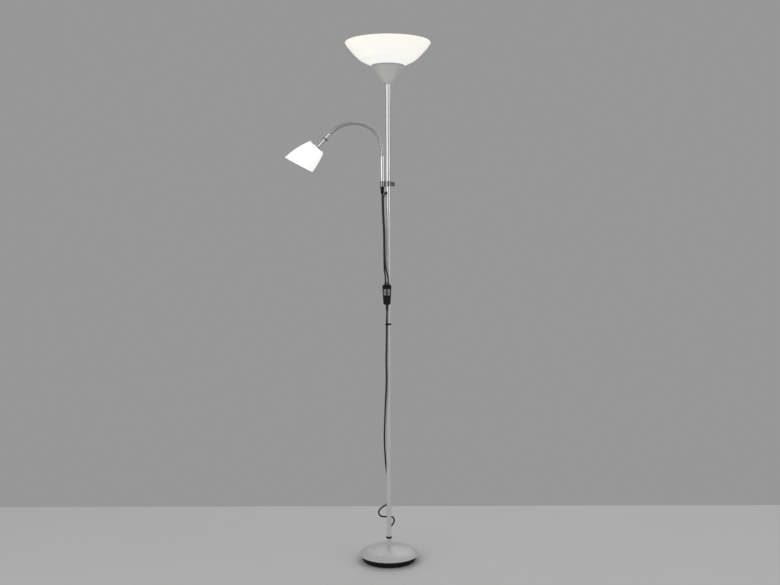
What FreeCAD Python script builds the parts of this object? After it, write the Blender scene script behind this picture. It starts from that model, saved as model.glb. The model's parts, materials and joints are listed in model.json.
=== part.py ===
"""Torchiere floor lamp with a reading light on a flexible arm.

Millimetres. The origin is on the floor, on the axis of the pole. +Z is up, the reading
arm reaches towards -X, and the switch and the side the lamp is looked at from face -Y.
"""
import FreeCAD, Part
import math
import os

import Sketcher
from FreeCAD import Placement, Rotation, Vector

doc = FreeCAD.newDocument("torchiere")
sheet = doc.addObject("Spreadsheet::Sheet", "Sizes")

# ---------------------------------------------------------------- driving dimensions
SIZES = {
    # fits and clearances
    "thread_clearance": 0.05,
    "running_clearance": 0.08,
    "free_gap": 0.3,
    "tip_flat": 0.6,
    # base
    "pad_radius": 86.0,
    "pad_thickness": 1.5,
    "tray_top_radius": 100.0,
    "tray_taper": 8.0,
    "tray_wall": 2.0,
    "tray_top": 22.5,
    "tray_edge_rise": 3.0,
    "cover_overhang": 3.5,
    "cover_sheet": 1.0,
    "cover_lip": 5.0,
    "cover_top": 50.0,
    "cover_flat_radius": 13.0,
    "cover_brow_width": 37.5,
    "cover_crown_drop": 8.6,
    "weight_thickness": 12.5,
    "weight_hub_radius": 16.0,
    "nut_recess_radius": 13.0,
    "nut_recess_depth": 6.0,
    "foot_ring_radius": 11.0,
    "foot_ring_height": 3.5,
    # threaded rod and its nuts
    "rod_radius": 5.0,
    "rod_bore_radius": 3.4,
    "nut_across_corners": 17.3,
    "nut_height": 4.0,
    "washer_radius": 12.0,
    "washer_thickness": 1.5,
    # pole
    "pole_radius": 8.0,
    "pole_wall": 0.8,
    "lower_section": 387.0,
    "upper_section": 442.0,
    "coupler_flange": 1.0,
    "coupler_reach": 14.0,
    "bush_height": 12.0,
    "bush_inset": 2.0,
    # head of the lamp
    "cup_foot_radius": 16.0,
    "cup_top_radius": 47.5,
    "cup_height": 51.0,
    "cup_lip_radius": 57.0,
    "cup_lip_height": 10.2,
    "cup_sheet": 1.0,
    "head_rod_reach": 34.0,
    "holder_lift": 24.0,
    "holder_cap_radius": 13.0,
    "holder_cap_height": 9.0,
    "holder_radius": 17.0,
    "holder_flange_radius": 23.0,
    "holder_flange": 2.5,
    "holder_above_glass": 9.0,
    "holder_mouth_radius": 13.6,
    "ring_radius": 22.4,
    "ring_height": 5.0,
    "bowl_seat_rise": 53.0,
    "bowl_depth": 84.5,
    "bowl_radius": 146.5,
    "bowl_wall": 3.0,
    "bowl_flat_radius": 24.0,
    "bowl_hip_radius": 97.0,
    "bowl_hip_height": 28.5,
    "bulb_radius": 28.0,
    "bulb_height": 64.0,
    "bulb_cap_radius": 13.2,
    "bulb_cap_height": 25.0,
    # clamp that carries the reading arm
    "clamp_bottom": 1303.5,
    "clamp_height": 19.0,
    "clamp_ring_radius": 11.5,
    "stem_offset": 20.0,
    "stem_radius": 6.5,
    "stem_bore_radius": 3.6,
    "stem_top": 1407.5,
    "stem_socket_depth": 12.0,
    "socket_wall": 2.0,
    "boss_radius": 6.0,
    "boss_reach": 12.5,
    "screw_radius": 2.5,
    "knob_radius": 8.5,
    "knob_length": 10.0,
    "knob_grooves": 14,
    "knob_groove_radius": 0.9,
    "gland_radius": 6.5,
    "gland_tip_radius": 3.4,
    "gland_length": 27.0,
    # gooseneck and reading head
    "hose_radius": 6.0,
    "hose_bore_radius": 3.6,
    "hose_rise": 17.5,
    "hose_near_bend": 96.0,
    "hose_far_bend": 112.0,
    "hose_far_sweep": 48.0,
    "hose_first_joint": 34.0,
    "hose_joint_step": 54.0,
    "ferrule_radius": 6.9,
    "ferrule_length": 20.0,
    "collar_radius": 9.2,
    "collar_length": 6.5,
    "neck_radius": 6.0,
    "neck_length": 33.0,
    "neck_bore_radius": 4.0,
    "cap_radius": 31.5,
    "cap_thickness": 4.2,
    "cap_sheet": 1.2,
    "shade_offset": 4.7,
    "shade_back_radius": 30.6,
    "shade_middle_radius": 44.8,
    "shade_middle_offset": 9.0,
    "shade_middle_reach": 42.0,
    "shade_middle_tilt": 7.7,
    "shade_mouth_radius": 53.5,
    "shade_mouth_offset": 10.6,
    "shade_mouth_reach": 86.0,
    "shade_mouth_tilt": 14.4,
    "shade_wall": 2.0,
    "small_holder_radius": 13.0,
    "small_holder_length": 27.0,
    "small_ring_radius": 17.0,
    "small_ring_height": 4.0,
    "small_mouth_radius": 8.0,
    "small_mouth_depth": 19.0,
    "small_bulb_radius": 13.0,
    "small_bulb_length": 40.0,
    "small_bulb_cap_radius": 7.7,
    # in-line switch
    "switch_bottom": 897.0,
    "switch_length": 70.0,
    "switch_top_width": 32.0,
    "switch_bottom_width": 25.0,
    "switch_front_depth": 10.5,
    "switch_back_depth": 9.5,
    "switch_shift": -5.0,
    "switch_corner": 7.0,
    "switch_round": 4.0,
    "rocker_width": 9.0,
    "rocker_length": 22.0,
    "rocker_depth": 7.0,
    "rocker_spacing": 13.0,
    "rocker_height": 44.0,
    "rocker_tilt": 7.0,
    "rocker_pin_radius": 1.2,
    "rocker_pin_reach": 1.5,
    "relief_length": 16.0,
    "relief_grip": 4.8,
    "mains_relief_length": 26.0,
    "plug_relief_length": 20.0,
    "relief_tip_radius": 3.5,
    "relief_root_radius": 4.5,
    "port_spacing": 9.4,
    # cable clips
    "clip_upper_height": 828.5,
    "clip_lower_height": 80.0,
    "clip_depth": 6.0,
    "clip_wall": 1.6,
    # cords, tie and plug
    "lamp_cord_radius": 2.7,
    "mains_cord_radius": 2.8,
    "grommet_height": 1284.0,
    "grommet_radius": 5.0,
    "grommet_reach": 8.5,
    "hank_inner_radius": 101.0,
    "hank_fold_radius": 16.5,
    "hank_step": 6.1,
    "floor_gap": 0.1,
    "tie_width": 9.0,
    "tie_wall": 0.5,
    "plug_line": 103.2,
    "plug_entry_width": 12.0,
    "plug_round": 3.0,
    "plug_width": 25.0,
    "plug_length": 31.0,
    "plug_thickness": 13.7,
    "pin_radius": 2.0,
    "pin_length": 19.0,
    "pin_spacing": 18.6,
}
GROMMET_BEARING = 225.0
GROMMET_DROP = 38.0
HOSE_SECTIONS = 5
HANK_START = 6.0
HANK_END = 28.0
PLUG_BEARING = 11.0
UPPER_CLIP_BEARING = 240.0
LOWER_CLIP_BEARING = 90.0

for row, (name, number) in enumerate(SIZES.items(), start=1):
    sheet.set("A%d" % row, name)
    sheet.set("B%d" % row, str(number))
    sheet.setAlias("B%d" % row, name)
doc.recompute()


class Size:
    """A length that knows both its number and the sheet expression that gives it."""

    def __init__(self, value, text):
        self.value = value
        self.text = text

    def joined(self, other, sign, value):
        return Size(value, "(%s %s %s)" % (self.text, sign, as_size(other).text))

    def __add__(self, other):
        return self.joined(other, "+", self.value + as_size(other).value)

    def __sub__(self, other):
        return self.joined(other, "-", self.value - as_size(other).value)

    def __mul__(self, other):
        return self.joined(other, "*", self.value * as_size(other).value)

    def __truediv__(self, other):
        return self.joined(other, "/", self.value / as_size(other).value)


def as_size(number):
    return number if isinstance(number, Size) else Size(float(number), repr(float(number)))


def size(name):
    return Size(float(sheet.get(name)), "Sizes." + name)


S = {name: size(name) for name in SIZES}
parts = []


def keep(feature, label, place=None):
    """Names a sub-part after its node, puts it in its place and lists it for export."""
    feature.Label = label
    if place is not None:
        feature.Placement = place
    parts.append(feature)
    return feature


def at(x, y, z):
    return Placement(Vector(x, y, z), Rotation())


# ---------------------------------------------------------------- ways of making a piece
def draw(sketch, outline):
    """Draws a closed outline. Each corner is (x, y), or (x, y, mid_x, mid_y) when the
    edge that arrives there is an arc through the middle point. Every coordinate that is
    not zero is a constraint bound to the sheet. A sketch keeps its arcs anticlockwise."""
    corners = [tuple(as_size(v) for v in corner) for corner in outline]
    edges, ends = [], []
    for index, corner in enumerate(corners):
        start = corners[index - 1]
        a = Vector(start[0].value, start[1].value, 0)
        b = Vector(corner[0].value, corner[1].value, 0)
        end = 2
        if len(corner) == 4:
            middle = Vector(corner[2].value, corner[3].value, 0)
            if (middle - a).cross(b - middle).z < 0:
                a, b, end = b, a, 1
            edges.append(sketch.addGeometry(Part.Arc(a, middle, b), False))
        else:
            edges.append(sketch.addGeometry(Part.LineSegment(a, b), False))
        ends.append(end)
    for index in range(len(edges)):
        sketch.addConstraint(Sketcher.Constraint(
            "Coincident", edges[index - 1], ends[index - 1], edges[index], 3 - ends[index]))
    for index, corner in enumerate(corners):
        pin_down(sketch, edges[index], ends[index], corner[0], corner[1])
        if len(corner) == 4:
            point = sketch.addGeometry(
                Part.Point(Vector(corner[2].value, corner[3].value, 0)), True)
            pin_down(sketch, point, 1, corner[2], corner[3])
            sketch.addConstraint(Sketcher.Constraint("PointOnObject", point, 1, edges[index]))


def pin_down(sketch, geometry, end, x, y):
    for kind, axis, value in (("DistanceX", -2, x), ("DistanceY", -1, y)):
        if value.text == "0.0":
            sketch.addConstraint(Sketcher.Constraint("PointOnObject", geometry, end, axis))
        else:
            number = sketch.addConstraint(Sketcher.Constraint(kind, geometry, end, value.value))
            sketch.setExpression("Constraints[%d]" % number, value.text)


def new_sketch(body, name, plane):
    origin = [f for f in body.Origin.OriginFeatures if f.Role == plane][0]
    sketch = body.newObject("Sketcher::SketchObject", name)
    sketch.AttachmentSupport = [(origin, "")]
    sketch.MapMode = "FlatFace"
    return sketch


def turned(label, outline, place=None):
    """A piece turned about its own Z axis from an outline of (radius, height)."""
    body = doc.addObject("PartDesign::Body", label)
    sketch = new_sketch(body, label + "_outline", "XZ_Plane")
    draw(sketch, outline)
    turn = body.newObject("PartDesign::Revolution", label + "_turned")
    turn.Profile = sketch
    turn.ReferenceAxis = (sketch, ["V_Axis"])
    turn.Angle = 360.0
    sketch.Visibility = False
    return keep(body, label, place)


def tube(label, outer, inner, bottom, top, place=None):
    return turned(label, [(inner, bottom), (outer, bottom), (outer, top), (inner, top)], place)


def cylinder(name, radius, length, place):
    solid = doc.addObject("Part::Cylinder", name)
    solid.setExpression("Radius", as_size(radius).text)
    solid.setExpression("Height", as_size(length).text)
    solid.Placement = place
    return solid


def box(name, lengths, place):
    solid = doc.addObject("Part::Box", name)
    for side, length in zip(("Length", "Width", "Height"), lengths):
        solid.setExpression(side, as_size(length).text)
    solid.Placement = place
    return solid


def cut(name, base, tools):
    joined = tools[0]
    if len(tools) > 1:
        joined = doc.addObject("Part::MultiFuse", name + "_tools")
        joined.Shapes = tools
    result = doc.addObject("Part::Cut", name)
    result.Base = base
    result.Tool = joined
    return result


def fuse(name, solids):
    result = doc.addObject("Part::MultiFuse", name)
    result.Shapes = solids
    return result


def shaped(label, shape, place=None):
    """A piece whose form comes from the functions below, with sizes read from the sheet."""
    feature = doc.addObject("Part::Feature", label)
    feature.Shape = shape
    return keep(feature, label, place)


# ---------------------------------------------------------------- base
def build_base():
    floor = S["pad_thickness"]
    inside = floor + S["tray_wall"]
    turned("floor_pad", [(0, 0), (S["pad_radius"], 0), (S["pad_radius"], floor), (0, floor)])
    rise = floor + S["tray_edge_rise"]
    turned("base_tray", [
        (0, floor),
        (tray_foot_radius() - S["tray_edge_rise"], floor),
        (tray_foot_radius(), rise,
         tray_foot_radius() - S["tray_edge_rise"] * 0.29, floor + S["tray_edge_rise"] * 0.29),
        (S["tray_top_radius"], S["tray_top"]),
        (S["tray_top_radius"] - S["tray_wall"], S["tray_top"]),
        (tray_foot_radius() - S["tray_wall"], inside + S["tray_wall"]),
        (tray_foot_radius() - S["tray_wall"] * 2, inside),
        (0, inside),
    ])
    recess_top = inside + S["nut_recess_depth"]
    plate_top = inside + S["weight_thickness"]
    bore = S["rod_radius"] + S["free_gap"]
    hub_top = S["cover_top"] - S["cover_sheet"]
    plate_radius = tray_foot_radius() - S["tray_wall"] * 2 - S["free_gap"]
    turned("base_weight", [
        (bore, recess_top), (S["nut_recess_radius"], recess_top),
        (S["nut_recess_radius"], inside), (plate_radius, inside),
        (plate_radius + S["tray_wall"], inside + S["tray_wall"] + S["free_gap"]),
        (plate_radius + S["tray_wall"], plate_top),
        (S["weight_hub_radius"] * 2, plate_top),
        (S["weight_hub_radius"], plate_top + S["weight_hub_radius"]),
        (S["cover_flat_radius"], hub_top), (bore, hub_top),
    ])
    turned("base_cover", cover_outline(bore))
    rod_bottom = recess_top - S["washer_thickness"] - S["nut_height"]
    rod_top = S["cover_top"] + S["bush_inset"] + S["bush_height"]
    tube("base_rod", S["rod_radius"] - S["thread_clearance"], S["rod_bore_radius"],
         rod_bottom, rod_top)
    tube("base_washer", S["washer_radius"], bore,
         recess_top - S["washer_thickness"], recess_top)
    hex_nut("base_nut", rod_bottom)
    tube("pole_foot_ring", S["foot_ring_radius"], S["pole_radius"] + S["thread_clearance"],
         S["cover_top"], S["cover_top"] + S["foot_ring_height"])


def tray_foot_radius():
    return S["tray_top_radius"] - S["tray_taper"]


def cover_radius():
    return S["tray_top_radius"] + S["cover_overhang"]


def cover_outline(bore):
    """Domed sheet cover: flat seat for the pole, broad crown, steeper brow and a lip that
    is folded in under the rim."""
    top, sheet_metal = S["cover_top"], S["cover_sheet"]
    crown, crown_height = (cover_radius() - S["cover_brow_width"]), S["cover_top"] - S["cover_crown_drop"]
    rim, lip = cover_radius(), S["tray_top"]
    shoulder = (S["cover_flat_radius"] + crown) / 2
    brow = (crown + rim) / 2
    brow_height = crown_height * 0.63 + (lip + sheet_metal) * 0.37 + 1.5
    drop = S["cover_crown_drop"] * 0.31
    return [
        (bore, top - sheet_metal), (bore, top), (S["cover_flat_radius"], top),
        (crown, crown_height, shoulder, top - drop),
        (rim, lip + sheet_metal * 1.6, brow, brow_height),
        (rim, lip), (rim - S["cover_lip"], lip), (rim - S["cover_lip"], lip + sheet_metal),
        (rim - sheet_metal * 2, lip + sheet_metal),
        (crown, crown_height - sheet_metal, brow - sheet_metal, brow_height - sheet_metal),
        (S["cover_flat_radius"], top - sheet_metal, shoulder, top - drop - sheet_metal),
    ]


def hex_nut(label, bottom):
    prism = doc.addObject("Part::Prism", label + "_hexagon")
    prism.Polygon = 6
    prism.setExpression("Circumradius", (S["nut_across_corners"] / 2).text)
    prism.setExpression("Height", S["nut_height"].text)
    prism.setExpression("Placement.Base.z", bottom.text)
    bore = cylinder(label + "_bore", S["rod_radius"], S["nut_height"], at(0, 0, 0))
    bore.setExpression("Placement.Base.z", bottom.text)
    keep(cut(label, prism, [bore]), label)


# ---------------------------------------------------------------- pole
def pole_joint(index):
    """Height of the underside of the flange above lower section number index."""
    step = S["lower_section"] + S["coupler_flange"]
    return S["cover_top"] + step * index - S["coupler_flange"]


def build_pole():
    outer = S["pole_radius"]
    inner = outer - S["pole_wall"]
    for index in range(1, 4):
        bottom = pole_joint(index - 1) + S["coupler_flange"]
        tube("pole_section_%d" % index, outer, inner, bottom, bottom + S["lower_section"])
    build_top_section(outer, inner)
    stud = inner - S["thread_clearance"]
    couplers = []
    for index in range(1, 4):
        low, high = pole_joint(index), pole_joint(index) + S["coupler_flange"]
        coupler = turned("coupler_%d" % index, [
            (S["rod_radius"], low - S["coupler_reach"]), (stud, low - S["coupler_reach"]),
            (stud, low), (outer - S["free_gap"], low), (outer - S["free_gap"], high),
            (stud, high), (stud, high + S["coupler_reach"]),
            (S["rod_radius"], high + S["coupler_reach"])])
        parts.remove(coupler)
        couplers.append(coupler)
    group("pole_couplers", couplers)
    bushes = []
    for name, bottom in (("foot_bush", S["cover_top"] + S["bush_inset"]),
                         ("top_bush", pole_top() - S["bush_inset"] - S["bush_height"])):
        bush = tube(name, stud, S["rod_radius"], bottom, bottom + S["bush_height"])
        parts.remove(bush)
        bushes.append(bush)
    group("pole_end_bushes", bushes)


def pole_top():
    return pole_joint(3) + S["coupler_flange"] + S["upper_section"]


def build_top_section(outer, inner):
    bottom = pole_joint(3) + S["coupler_flange"]
    bar = cylinder("top_section_bar", outer, S["upper_section"], at(0, 0, 0))
    hollow = cylinder("top_section_hollow", inner, S["upper_section"], at(0, 0, 0))
    for solid in (bar, hollow):
        solid.setExpression("Placement.Base.z", bottom.text)
    window = cylinder("cord_window", S["lamp_cord_radius"] + S["free_gap"], outer * 2,
                      grommet_place())
    keep(cut("pole_section_4", bar, [hollow, window]), "pole_section_4")


def group(label, solids):
    """Identical or paired pieces that share a node stay separate solids in a compound."""
    compound = doc.addObject("Part::Compound", label)
    compound.Links = solids
    keep(compound, label)


# ---------------------------------------------------------------- head
def build_head():
    foot = pole_top()
    build_cup(foot)
    rod_bottom = foot - S["bush_inset"] - S["bush_height"]
    tube("head_rod", S["rod_radius"] - S["thread_clearance"], S["rod_bore_radius"],
         rod_bottom, foot + S["head_rod_reach"])
    hex_nut("head_nut", foot + S["cup_sheet"])
    glass = bowl_bottom()
    cap_bottom = foot + S["holder_lift"]
    cap_top = cap_bottom + S["holder_cap_height"]
    mouth_bottom = foot + S["head_rod_reach"] + S["holder_flange"]
    holder_top = glass + S["bowl_wall"] + S["holder_above_glass"]
    turned("bowl_lampholder", [
        (S["rod_radius"], cap_bottom), (S["holder_cap_radius"], cap_bottom),
        (S["holder_cap_radius"], cap_top), (S["holder_radius"], cap_top),
        (S["holder_radius"], glass - S["holder_flange"]),
        (S["holder_flange_radius"], glass - S["holder_flange"]),
        (S["holder_flange_radius"], glass), (S["holder_radius"], glass),
        (S["holder_radius"], holder_top), (S["holder_mouth_radius"], holder_top),
        (S["holder_mouth_radius"], mouth_bottom), (S["rod_radius"], mouth_bottom)])
    ring_bottom = glass + S["bowl_wall"]
    bore = S["holder_radius"] + S["thread_clearance"]
    turned("bowl_holder_ring", [
        (bore, ring_bottom), (S["ring_radius"], ring_bottom),
        (S["ring_radius"], ring_bottom + S["ring_height"] * 0.4),
        (S["ring_radius"] - S["ring_height"] * 0.6, ring_bottom + S["ring_height"]),
        (bore, ring_bottom + S["ring_height"])])
    turned("bowl_shade", bowl_outline())
    cap = mouth_bottom
    globe = holder_top + S["bulb_height"] / 2
    turned("bowl_bulb", [
        (0, cap), (S["bulb_cap_radius"], cap),
        (S["bulb_cap_radius"], holder_top + S["free_gap"] * 2),
        (S["bulb_radius"], globe, S["bulb_radius"] * 0.84, globe - S["bulb_height"] * 0.27),
        (S["tip_flat"], globe + S["bulb_radius"], S["bulb_radius"] * 0.707,
         globe + S["bulb_radius"] * 0.707), (0, globe + S["bulb_radius"])])


def build_cup(foot):
    """Spun metal cup: a small foot on the pole, a straight cone and a flared lip."""
    wall = S["cup_sheet"]
    bore = S["rod_radius"] + S["free_gap"]
    cone = foot + S["cup_height"]
    lip = cone + S["cup_lip_height"]
    turned("head_cup", [
        (bore, foot), (S["cup_foot_radius"], foot),
        (S["cup_top_radius"], cone),
        (S["cup_lip_radius"], lip,
         S["cup_top_radius"] + (S["cup_lip_radius"] - S["cup_top_radius"]) * 0.41,
         cone + S["cup_lip_height"] * 0.585),
        (S["cup_lip_radius"] - wall, lip),
        (S["cup_top_radius"] - wall, cone,
         S["cup_top_radius"] - wall + (S["cup_lip_radius"] - S["cup_top_radius"]) * 0.41,
         cone + S["cup_lip_height"] * 0.585),
        (S["cup_foot_radius"] - wall, foot + wall), (bore, foot + wall)])


def bowl_bottom():
    return pole_top() + S["bowl_seat_rise"]


def bowl_outline():
    """Opal bowl: a flat seat with the holder's hole, a shallow belly and a steeper rim."""
    bottom, wall = bowl_bottom(), S["bowl_wall"]
    hole = S["holder_radius"] + S["free_gap"]
    flat, hip, rim = S["bowl_flat_radius"], S["bowl_hip_radius"], S["bowl_radius"]
    hip_height, top = bottom + S["bowl_hip_height"], bottom + S["bowl_depth"]
    belly, belly_height = flat + (hip - flat) * 0.5, bottom + S["bowl_hip_height"] * 0.365
    side, side_height = hip + (rim - hip) * 0.51, hip_height + (top - hip_height) * 0.44
    return [
        (hole, bottom), (flat, bottom), (hip, hip_height, belly, belly_height),
        (rim, top, side, side_height),
        (rim - wall * 0.3, top + wall * 0.3), (rim - wall * 0.7, top + wall * 0.3),
        (rim - wall, top),
        (hip - wall * 0.5, hip_height + wall, side - wall * 0.85, side_height + wall * 0.5),
        (flat - wall * 0.2, bottom + wall, belly - wall * 0.3, belly_height + wall),
        (hole, bottom + wall)]


# ---------------------------------------------------------------- clamp and thumbscrew
def build_clamp():
    bottom, height = S["clamp_bottom"], S["clamp_height"]
    centre = bottom + height / 2
    stem_x = S["stem_offset"].value
    middle = centre.value
    ring = cylinder("clamp_ring", S["clamp_ring_radius"], height, at(0, 0, 0))
    socket = cylinder("clamp_socket", S["stem_radius"] + S["socket_wall"], height, at(0, 0, 0))
    web = box("clamp_web", (S["stem_offset"], S["clamp_ring_radius"], height), at(0, 0, 0))
    web.setExpression("Placement.Base.x", "-" + S["stem_offset"].text)
    web.setExpression("Placement.Base.y", "-" + (S["clamp_ring_radius"] / 2).text)
    boss = cylinder("clamp_boss", S["boss_radius"], S["boss_reach"],
                    Placement(Vector(0, 0, middle), Rotation(Vector(0, 1, 0), 90)))
    body = fuse("clamp_body", [ring, socket, web, boss])
    bore = cylinder("clamp_bore", S["pole_radius"] + S["running_clearance"], height, at(0, 0, 0))
    seat = cylinder("clamp_seat", S["stem_radius"] + S["thread_clearance"],
                    S["stem_socket_depth"], at(0, 0, 0))
    wire = cylinder("clamp_wire_hole", S["stem_bore_radius"], height, at(0, 0, 0))
    tapped = cylinder("clamp_tapped_hole", S["screw_radius"] + S["thread_clearance"],
                      S["boss_reach"], Placement(Vector(0, 0, middle),
                                                 Rotation(Vector(0, 1, 0), 90)))
    for solid in (ring, socket, web, bore, wire):
        solid.setExpression("Placement.Base.z", bottom.text)
    seat.setExpression("Placement.Base.z", (bottom + height - S["stem_socket_depth"]).text)
    for solid in (boss, tapped):
        solid.setExpression("Placement.Base.z", centre.text)
    for solid in (socket, seat, wire):
        solid.setExpression("Placement.Base.x", "-" + S["stem_offset"].text)
    keep(cut("arm_clamp", body, [bore, seat, wire, tapped]), "arm_clamp")

    build_thumbscrew(middle)
    stem = at(-stem_x, 0, 0)
    tube("stem_sleeve", S["stem_radius"], S["stem_bore_radius"],
         bottom + height - S["stem_socket_depth"], S["stem_top"], stem)
    waist = bottom - S["gland_length"] * 0.35
    shoulder = bottom - S["gland_length"] * 0.42
    turned("stem_gland", [
        (S["lamp_cord_radius"] * 0.6, bottom),
        (S["lamp_cord_radius"] * 0.6, bottom - S["gland_length"]),
        (S["gland_tip_radius"], bottom - S["gland_length"]),
        (S["gland_tip_radius"] * 1.1, bottom - S["gland_length"] * 0.86),
        (S["gland_radius"] * 0.9, bottom - S["gland_length"] * 0.74),
        (S["gland_radius"], shoulder), (S["gland_radius"] * 0.85, waist),
        (S["gland_radius"], waist + S["gland_length"] * 0.05), (S["gland_radius"], bottom)],
        stem)


def build_thumbscrew(middle):
    """Round knob with a grooved grip, and the screw that bears on the pole."""
    tip = S["pole_radius"] + S["running_clearance"] + S["free_gap"]
    head = S["boss_reach"] + S["free_gap"]
    end = head + S["knob_length"]
    knob, rounding = S["knob_radius"], S["knob_groove_radius"]
    body = doc.addObject("PartDesign::Body", "clamp_thumbscrew")
    sketch = new_sketch(body, "thumbscrew_outline", "XZ_Plane")
    draw(sketch, [
        (0, tip), (S["screw_radius"] - rounding, tip),
        (S["screw_radius"], tip + rounding), (S["screw_radius"], head),
        (knob - rounding, head), (knob, head + rounding), (knob, end - rounding),
        (knob - rounding, end), (0, end)])
    turn = body.newObject("PartDesign::Revolution", "thumbscrew_turned")
    turn.Profile = sketch
    turn.ReferenceAxis = (sketch, ["V_Axis"])
    turn.Angle = 360.0
    doc.recompute()
    grip = new_sketch(body, "thumbscrew_groove", "XY_Plane")
    groove = grip.addGeometry(Part.Circle(Vector(knob.value, 0, 0), Vector(0, 0, 1),
                                          rounding.value), False)
    grip.addConstraint(Sketcher.Constraint("PointOnObject", groove, 3, -1))
    for kind, value in (("DistanceX", knob), ("Radius", rounding)):
        arguments = (groove, 3, value.value) if kind == "DistanceX" else (groove, value.value)
        number = grip.addConstraint(Sketcher.Constraint(kind, *arguments))
        grip.setExpression("Constraints[%d]" % number, value.text)
    pocket = body.newObject("PartDesign::Pocket", "thumbscrew_grip")
    pocket.Profile = grip
    pocket.Type = 0
    pocket.Reversed = True
    pocket.setExpression("Length", (end + S["knob_length"]).text)
    doc.recompute()
    ring = body.newObject("PartDesign::PolarPattern", "thumbscrew_grooves")
    ring.Originals = [pocket]
    ring.Axis = (grip, ["N_Axis"])
    ring.Angle = 360.0
    ring.setExpression("Occurrences", S["knob_grooves"].text)
    body.Tip = ring
    keep(body, "clamp_thumbscrew",
         Placement(Vector(0, 0, middle), Rotation(Vector(0, 1, 0), 90)))


# ---------------------------------------------------------------- gooseneck
def hose_runs():
    """The centre line of the gooseneck at rest, in the XZ plane: a short rise out of the
    stem, a quarter bend over the top and a wider bend down to the head. Each run is
    (length, function from distance along it to point and heading)."""
    x, z = -S["stem_offset"].value, S["stem_top"].value
    rise, near, far = (S[n].value for n in ("hose_rise", "hose_near_bend", "hose_far_bend"))
    sweep = math.radians(S["hose_far_sweep"].value)

    def straight(s):
        return Vector(x, 0, z + s), math.pi / 2

    def bend(centre, radius, start):
        def point(s):
            turn = start + s / radius
            place = centre + Vector(radius * math.cos(turn), 0, radius * math.sin(turn))
            return place, turn + math.pi / 2
        return point

    near_centre = Vector(x - near, 0, z + rise)
    far_centre = Vector(x - near, 0, z + rise + near - far)
    return [(rise, straight), (near * math.pi / 2, bend(near_centre, near, 0.0)),
            (far * sweep, bend(far_centre, far, math.pi / 2))]


def hose_point(distance):
    """Point and heading at a distance along the gooseneck."""
    runs = hose_runs()
    for length, point in runs[:-1]:
        if distance <= length:
            return point(distance)
        distance -= length
    return runs[-1][1](distance)


def hose_length():
    return sum(length for length, point in hose_runs())


def hose_stations():
    """Distances at which the gooseneck is parted into sections that bend together."""
    first, step = S["hose_first_joint"].value, S["hose_joint_step"].value
    joints = [first + step * i for i in range(HOSE_SECTIONS - 1)]
    return [0.0] + joints + [hose_length()]


def hose_path(start, end):
    """Wire of the centre line between two distances, one edge for each run it crosses."""
    edges, passed = [], 0.0
    for length, point in hose_runs():
        low, high = max(start - passed, 0.0), min(end - passed, length)
        if high - low > 1e-6:
            a, middle, b = (point(s)[0] for s in (low, (low + high) / 2, high))
            straight = abs((b - a).cross(middle - a).Length) < 1e-6
            edge = Part.LineSegment(a, b) if straight else Part.Arc(a, middle, b)
            edges.append(edge.toShape())
        passed += length
    return Part.Wire(edges)


def swept(path, radius):
    """Solid of round section along a smooth wire."""
    start = path.OrderedVertexes[0].Point
    edge = path.OrderedEdges[0]
    ahead = edge.Vertexes[0].Point.distanceToPoint(start) < 1e-6
    first, last = edge.ParameterRange
    tangent = edge.tangentAt(first if ahead else last)
    section = Part.Wire([Part.makeCircle(radius, start, tangent)])
    shell = Part.BRepOffsetAPI.MakePipeShell(path)
    shell.add(section)
    shell.build()
    shell.makeSolid()
    solid = shell.shape()
    if solid.Volume < 0:
        solid.reverse()
    return solid


def build_hose():
    stations = hose_stations()
    for index in range(HOSE_SECTIONS):
        path = hose_path(stations[index], stations[index + 1])
        outer = swept(path, S["hose_radius"].value)
        inner = swept(path, S["hose_bore_radius"].value)
        shaped("gooseneck_%d" % (index + 1), outer.cut(inner))


def head_place():
    """Frame of the reading head: Z runs down along the neck, X up across the shade."""
    point, heading = hose_point(hose_length())
    return Placement(point, Rotation(Vector(0, 1, 0), 90 - math.degrees(heading)))


# ---------------------------------------------------------------- reading head
def build_reading_head():
    place = head_place()
    hose_end = 0
    ferrule = S["ferrule_length"]
    turned("gooseneck_ferrule", [
        (S["hose_bore_radius"], hose_end), (S["ferrule_radius"] - S["cap_sheet"] / 2, hose_end),
        (S["ferrule_radius"], S["cap_sheet"]), (S["ferrule_radius"], ferrule),
        (S["hose_bore_radius"], ferrule)], place)
    collar_end = ferrule + S["collar_length"]
    round_off = S["collar_length"] * 0.2
    turned("neck_collar", [
        (S["neck_bore_radius"], ferrule), (S["collar_radius"] - round_off, ferrule),
        (S["collar_radius"], ferrule + round_off), (S["collar_radius"], collar_end - round_off),
        (S["collar_radius"] - round_off, collar_end), (S["neck_bore_radius"], collar_end)],
        place)
    cap_back = collar_end + S["neck_length"]
    tube("reading_neck", S["neck_radius"], S["neck_bore_radius"], collar_end, cap_back, place)
    back = cap_back + S["cap_thickness"]
    build_reading_cap(place, cap_back)
    build_small_holder(place, back)
    build_reading_shade(place, back)


def build_reading_cap(place, cap_back):
    """Dished metal cap across the back of the shade; the neck stands on it off centre."""
    wall = S["cap_sheet"]
    depth = S["cap_thickness"]
    dish = turned("reading_cap_dish", [
        (0, 0), (S["neck_radius"] * 1.6, 0), (S["cap_radius"] - depth * 0.7, depth * 0.35),
        (S["cap_radius"], depth - wall * 0.5), (S["cap_radius"] - wall * 0.25, depth),
        (0, depth)])
    parts.remove(dish)
    dish.setExpression("Placement.Base.x", S["shade_offset"].text)
    hole = cylinder("reading_cap_hole", S["neck_bore_radius"], depth * 3, at(0, 0, 0))
    hole.setExpression("Placement.Base.z", "-" + depth.text)
    cap = cut("reading_cap", dish, [hole])
    keep(cap, "reading_cap", place.multiply(at(0, 0, cap_back.value)))


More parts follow.
